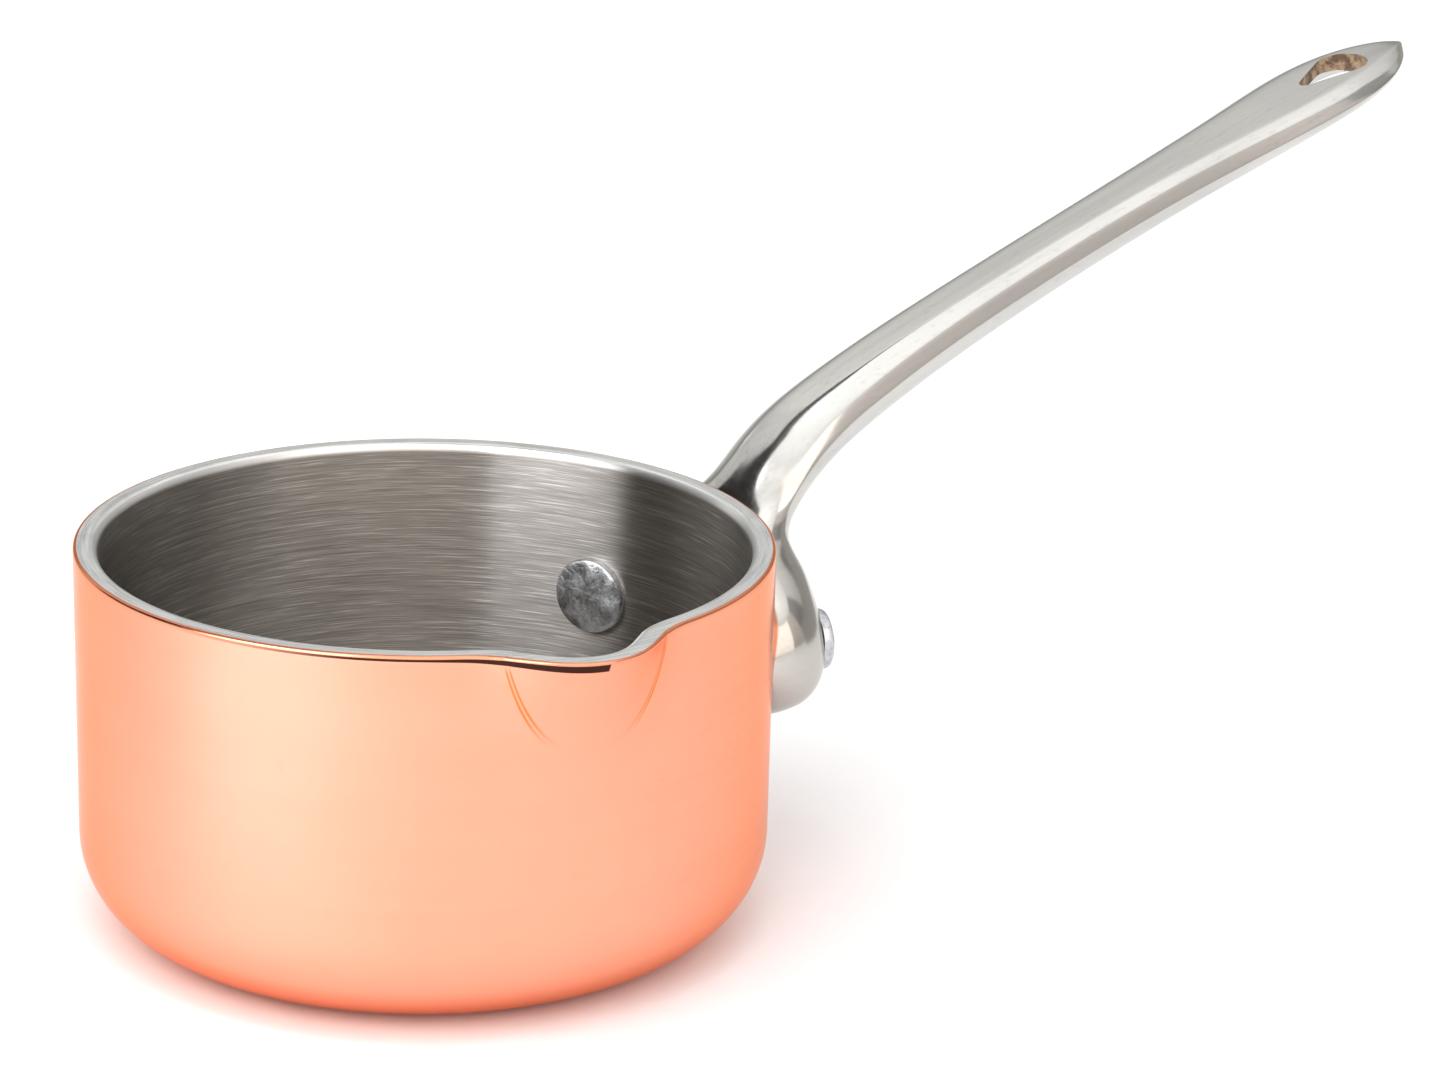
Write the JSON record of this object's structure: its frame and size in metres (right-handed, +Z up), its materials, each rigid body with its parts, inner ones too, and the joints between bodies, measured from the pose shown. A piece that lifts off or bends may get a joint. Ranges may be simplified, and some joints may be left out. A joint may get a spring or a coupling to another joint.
{
  "type": "saucepan",
  "caption": "Small round copper saucepan with a pressed pouring lip, a steel lining and a long riveted cast handle with a teardrop hanging hole.",
  "frame": {"origin": "centre of the flat base, on the surface the pan rests on", "axes": "+X out along the handle, +Z up through the pan's mouth; the handle lies in the XZ plane and the pouring lip is on the -Y side"},
  "size_m": [0.1812, 0.0741, 0.0745],
  "materials": {
    "copper": "satin polished copper",
    "aluminium": "fine turned edge",
    "brushed_steel": "brushed round the pan",
    "cast_steel": "polished cast stainless steel",
    "rivet_steel": "set rivet heads, faintly hammered"
  },
  "bodies": {
    "root": {"copper_shell": "copper", "aluminium_core": "aluminium", "steel_liner": "brushed_steel", "handle": "cast_steel", "rivet_left": "rivet_steel", "rivet_right": "rivet_steel"}
  },
  "joints": []
}
